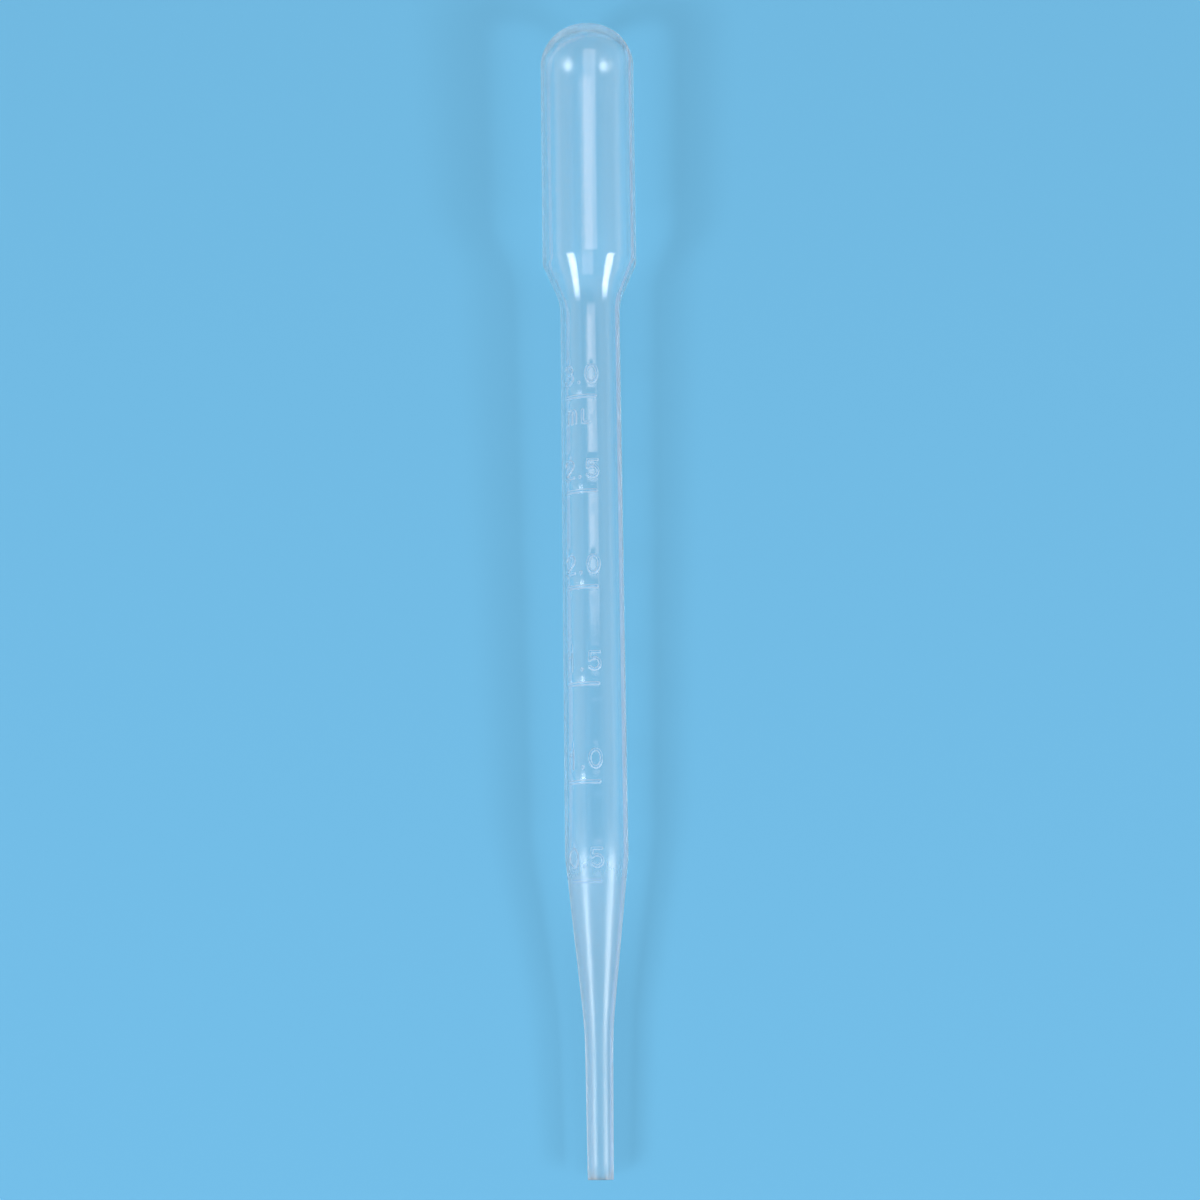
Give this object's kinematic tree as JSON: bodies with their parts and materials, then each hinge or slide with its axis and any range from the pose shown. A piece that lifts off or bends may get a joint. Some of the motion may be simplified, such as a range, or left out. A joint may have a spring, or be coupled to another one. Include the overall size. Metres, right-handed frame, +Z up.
{
  "type": "dropper pipette",
  "caption": "One-piece blow-moulded plastic dropper pipette with a domed squeeze bulb, a graduated barrel and a drawn-out square-cut tip.",
  "frame": {"origin": "on the surface it lies on, under the middle of its bounding box", "axes": "+Z up; +Y along the pipette towards the squeeze bulb, level with the surface; +X to the right when looking from the tip to the bulb. The pipette's own axis rises 1.56 degrees towards the bulb, as it lies."},
  "size_m": [0.0126, 0.1548, 0.0133],
  "materials": {
    "natural_ldpe": "natural translucent low-density polyethylene, waxy low gloss, as blown"
  },
  "bodies": {
    "root": {"pipette": "natural_ldpe"}
  },
  "joints": []
}
